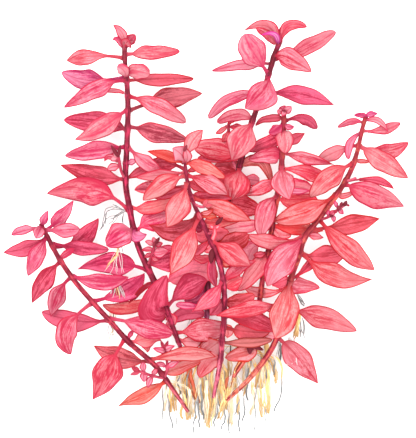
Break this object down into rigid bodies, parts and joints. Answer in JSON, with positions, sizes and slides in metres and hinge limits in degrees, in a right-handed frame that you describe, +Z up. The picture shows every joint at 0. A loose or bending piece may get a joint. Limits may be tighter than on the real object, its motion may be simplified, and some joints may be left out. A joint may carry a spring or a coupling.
{
  "type": "aquarium plant",
  "caption": "Bunch of red stem plants lying flat, with opposite pointed oval leaves along branching stems and a fringe of pale roots.",
  "frame": {"origin": "centre of the bunch's outline, on the surface that it lies on", "axes": "+Z up from the surface, +Y from the roots to the growing tips, +X to the right seen from above with the tips up"},
  "size_m": [0.2026, 0.2077, 0.0471],
  "materials": {
    "leaf_coral": "satin",
    "leaf_crimson": "satin",
    "leaf_mauve": "satin",
    "leaf_orange": "satin",
    "leaf_rose": "satin",
    "leaf_salmon": "satin",
    "leaf_violet": "satin",
    "root_fibre": "matte",
    "stem_skin": "satin"
  },
  "bodies": {
    "root": {"arching_leaf_pair_10_front": "leaf_salmon", "arching_leaf_pair_11_left": "leaf_coral", "arching_leaf_pair_11_right": "leaf_coral", "arching_leaf_pair_12_right": "leaf_rose", "arching_leaf_pair_3_right": "leaf_salmon", "arching_leaf_pair_4_left": "leaf_salmon", "arching_leaf_pair_5_right": "leaf_coral", "arching_leaf_pair_6_left": "leaf_coral", "arching_leaf_pair_7_left": "leaf_rose", "arching_leaf_pair_8_right": "leaf_coral", "arching_leaf_pair_9_right": "leaf_coral", "arching_stem": "stem_skin", "centre_leaf_pair_2_left": "leaf_salmon", "centre_leaf_pair_2_right": "leaf_rose", "centre_leaf_pair_3_front": "leaf_salmon", "centre_leaf_pair_4_right": "leaf_coral", "centre_leaf_pair_5_front": "leaf_salmon", "centre_leaf_pair_6_right": "leaf_coral", "centre_leaf_pair_9_left": "leaf_coral", "centre_stem": "stem_skin", "hanging_root_tuft": "root_fibre", "inner_leaf_pair_2_front": "leaf_salmon", "inner_leaf_pair_4_front": "leaf_rose", "inner_leaf_pair_5_front": "leaf_rose", "inner_stem": "stem_skin", "leaning_leaf_pair_1_front": "leaf_rose", "leaning_leaf_pair_1_left": "leaf_crimson", "leaning_leaf_pair_3_left": "leaf_crimson", "leaning_leaf_pair_4_left": "leaf_crimson", "leaning_leaf_pair_5_left": "leaf_rose", "leaning_leaf_pair_6_left": "leaf_crimson", "leaning_leaf_pair_6_right": "leaf_rose", "leaning_leaf_pair_7_left": "leaf_coral", "leaning_leaf_pair_8_right": "leaf_salmon", "leaning_leaf_pair_9_left": "leaf_orange", "leaning_stem": "stem_skin", "left_tall_leaf_pair_10_left": "leaf_crimson", "left_tall_leaf_pair_12_front": "leaf_crimson", "left_tall_leaf_pair_1_left": "leaf_rose", "left_tall_leaf_pair_1_right": "leaf_salmon", "left_tall_leaf_pair_2_left": "leaf_rose", "left_tall_leaf_pair_3_right": "leaf_rose", "left_tall_leaf_pair_4_left": "leaf_salmon", "left_tall_leaf_pair_4_right": "leaf_mauve", "left_tall_leaf_pair_5_right": "leaf_mauve", "left_tall_leaf_pair_6_left": "leaf_rose", "left_tall_leaf_pair_7_left": "leaf_crimson", "left_tall_leaf_pair_8_left": "leaf_coral", "left_tall_leaf_pair_9_front": "leaf_violet", "left_tall_stem": "stem_skin", "right_tall_leaf_pair_1_front": "leaf_salmon", "right_tall_leaf_pair_2_right": "leaf_rose", "right_tall_leaf_pair_3_front": "leaf_rose", "right_tall_leaf_pair_3_left": "leaf_rose", "right_tall_leaf_pair_3_right": "leaf_crimson", "right_tall_leaf_pair_4_front": "leaf_salmon", "right_tall_leaf_pair_6_front": "leaf_coral", "right_tall_stem": "stem_skin", "root_mass": "root_fibre", "upper_root_tuft": "root_fibre"}
  },
  "joints": []
}
